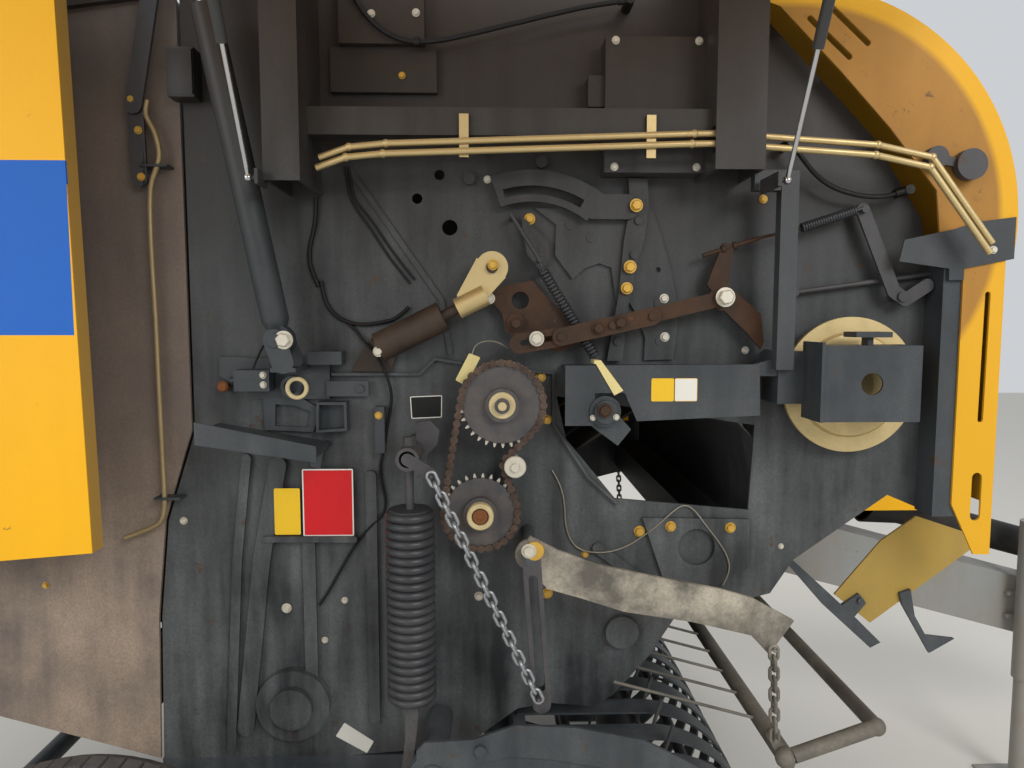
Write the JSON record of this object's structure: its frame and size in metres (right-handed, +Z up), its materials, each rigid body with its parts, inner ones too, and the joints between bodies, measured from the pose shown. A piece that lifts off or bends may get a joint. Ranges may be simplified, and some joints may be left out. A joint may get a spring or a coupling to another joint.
{
  "type": "round baler",
  "caption": "Trailed belt round baler with a lifting gate, gull-wing side doors, tined pickup, chain drive and drawbar on a jack.",
  "frame": {"origin": "on the ground under the middle of the bounding box, with the right-hand door open", "axes": "+X forward towards the hitch, +Y to the left side of the machine, +Z up"},
  "size_m": [4.5497, 3.9327, 2.64],
  "materials": {
    "black_frame": "dusty satin black paint",
    "grey_paint": "satin grey paint",
    "yellow_paint": "semi-gloss yellow paint",
    "blue_paint": "semi-gloss blue paint",
    "gate_brown": "black paint under brown dust",
    "worn_steel": "bare steel polished by crop",
    "dark_steel": "dark oiled steel",
    "black_steel": "black coated spring steel",
    "rusty_steel": "light rust over steel",
    "zinc": "bright zinc plate",
    "zinc_yellow": "yellow passivated zinc plate",
    "chrome_rod": "polished rod",
    "strut_grey": "satin grey paint",
    "black_plastic": "black plastic guard",
    "belt_rubber": "ribbed belt rubber",
    "gauge_rubber": "solid rubber",
    "tyre": "dusty tyre rubber",
    "rim_cream": "cream wheel paint",
    "red_lens": "red lamp lens"
  },
  "bodies": {
    "chassis": {"chamber_walls": "black_frame", "main_frame": "black_frame", "axle_beam": "black_frame", "drawbar": "grey_paint", "jack_sleeve": "grey_paint", "door_posts": "black_frame", "front_shield": "yellow_paint", "floor_rollers": "worn_steel", "chamber_belts": "belt_rubber", "gearbox": "black_frame", "pto_guard": "yellow_paint", "driveline_guard": "black_plastic", "drive_sprockets": "dark_steel", "drive_chain": "rusty_steel", "coil_springs": "black_steel", "float_chain": "zinc", "spring_hanger": "dark_steel", "sector_plates": "black_frame", "tension_links": "rusty_steel", "size_actuator": "dark_steel", "actuator_bracket": "zinc_yellow", "spring_clevis": "zinc_yellow", "brake_bracket": "black_frame", "brake_disc": "zinc_yellow", "hood_lever": "dark_steel", "hydraulic_lines": "zinc_yellow", "latch_hooks": "black_frame", "deflector_plate": "yellow_paint", "hold_down_lever": "black_frame", "bale_ramp": "black_frame", "hood_hose": "belt_rubber", "top_hose": "belt_rubber"},
    "gate": {"gate_walls": "gate_brown", "gate_panels": "yellow_paint", "gate_panel_blocks": "blue_paint", "gate_frame": "black_frame", "gate_rollers": "worn_steel", "gate_belts": "belt_rubber", "latch_rods": "zinc", "tail_lamps": "red_lens"},
    "gate_barrels": {"gate_barrels": "black_frame"},
    "gate_rods": {"gate_rods": "chrome_rod"},
    "door_right": {"door_right": "yellow_paint"},
    "strut_tubes_right": {"strut_tubes_right": "strut_grey"},
    "strut_rods_right": {"strut_rods_right": "chrome_rod"},
    "door_left": {"door_left": "yellow_paint"},
    "strut_tubes_left": {"strut_tubes_left": "strut_grey"},
    "strut_rods_left": {"strut_rods_left": "chrome_rod"},
    "pickup": {"pickup_frame": "black_frame", "pickup_bands": "black_frame"},
    "pickup_reel": {"pickup_reel": "dark_steel"},
    "wind_guard": {"wind_guard": "dark_steel"},
    "gauge_wheel_right": {"gauge_wheel_right": "gauge_rubber"},
    "gauge_wheel_left": {"gauge_wheel_left": "gauge_rubber"},
    "wheel_right": {"tyre_right": "tyre", "rim_right": "rim_cream"},
    "wheel_left": {"tyre_left": "tyre", "rim_left": "rim_cream"},
    "jack_leg": {"jack_leg": "grey_paint"},
    "driveline": {"driveline_shaft": "worn_steel"}
  },
  "joints": [
    {"name": "gate_lift", "type": "hinge", "parent": "chassis", "child": "gate", "pos_m": [-0.575, 0.50728, 2.56], "axis": [0, 1, 0], "range_deg": [0, 60]},
    {"name": "gate_barrel_swing", "type": "hinge", "parent": "chassis", "child": "gate_barrels", "pos_m": [-0.625, 0.50728, 1.566], "axis": [0, 1, 0], "range_deg": [0, 4.51]},
    {"name": "gate_rod_slide", "type": "slide", "parent": "gate_barrels", "child": "gate_rods", "axis": [-0.1932, 0, 0.9812], "range_m": [0, 0.22952]},
    {"name": "door_right_swing", "type": "hinge", "parent": "chassis", "child": "door_right", "pos_m": [-0.125, -0.56272, 2.45], "axis": [-1, 0, 0], "range_deg": [-97, 0]},
    {"name": "strut_right_swing", "type": "hinge", "parent": "door_right", "child": "strut_tubes_right", "pos_m": [-0.125, -0.79266, 2.38], "axis": [-1, 0, 0], "range_deg": [-0.01, 135.07]},
    {"name": "strut_right_slide", "type": "slide", "parent": "strut_tubes_right", "child": "strut_rods_right", "axis": [0, 0.4999, -0.8661], "range_m": [-0.22145, 0]},
    {"name": "door_left_swing", "type": "hinge", "parent": "chassis", "child": "door_left", "pos_m": [-0.125, 1.57728, 2.45], "axis": [1, 0, 0], "range_deg": [0, 97]},
    {"name": "strut_left_swing", "type": "hinge", "parent": "door_left", "child": "strut_tubes_left", "pos_m": [-0.125, 1.47978, 2.2303], "axis": [1, 0, 0], "range_deg": [-135.07, 0.01]},
    {"name": "strut_left_slide", "type": "slide", "parent": "strut_tubes_left", "child": "strut_rods_left", "axis": [0, 0.1403, -0.9901], "range_m": [0, 0.22145]},
    {"name": "pickup_lift", "type": "hinge", "parent": "chassis", "child": "pickup", "pos_m": [-0.285, 0.50728, 0.64], "axis": [0, -1, 0], "range_deg": [0, 8]},
    {"name": "reel_spin", "type": "hinge", "parent": "pickup", "child": "pickup_reel", "pos_m": [0.225, 0.50728, 0.365], "axis": [0, 1, 0], "continuous": true},
    {"name": "guard_swing", "type": "hinge", "parent": "chassis", "child": "wind_guard", "pos_m": [-0.073, 0.50728, 1.102], "axis": [0, -1, 0], "range_deg": [0, 6.81]},
    {"name": "gauge_right_spin", "type": "hinge", "parent": "pickup", "child": "gauge_wheel_right", "pos_m": [0.075, -0.59272, 0.19], "axis": [0, 1, 0], "continuous": true},
    {"name": "gauge_left_spin", "type": "hinge", "parent": "pickup", "child": "gauge_wheel_left", "pos_m": [0.075, 1.60728, 0.19], "axis": [0, 1, 0], "continuous": true},
    {"name": "wheel_right_spin", "type": "hinge", "parent": "chassis", "child": "wheel_right", "pos_m": [-0.925, -0.77272, 0.39], "axis": [0, 1, 0], "continuous": true},
    {"name": "wheel_left_spin", "type": "hinge", "parent": "chassis", "child": "wheel_left", "pos_m": [-0.925, 1.78728, 0.39], "axis": [0, 1, 0], "continuous": true},
    {"name": "jack_slide", "type": "slide", "parent": "chassis", "child": "jack_leg", "axis": [0, 0, 1], "range_m": [0, 0.3]},
    {"name": "pto_spin", "type": "hinge", "parent": "chassis", "child": "driveline", "pos_m": [1.58751, 0.50728, 0.8589], "axis": [0.965, 0, -0.2622], "continuous": true}
  ],
  "couplings": [
    {"joint": "gate_barrel_swing", "follows": "gate_lift", "ratio": 0.07499},
    {"joint": "gate_rod_slide", "follows": "gate_lift", "m_per_rad": 0.21908},
    {"joint": "strut_right_swing", "follows": "door_right_swing", "ratio": -1.3923},
    {"joint": "strut_right_slide", "follows": "door_right_swing", "m_per_rad": 0.13075},
    {"joint": "strut_left_swing", "follows": "door_left_swing", "ratio": -1.3923},
    {"joint": "strut_left_slide", "follows": "door_left_swing", "m_per_rad": 0.13075},
    {"joint": "guard_swing", "follows": "pickup_lift", "ratio": 0.85}
  ]
}
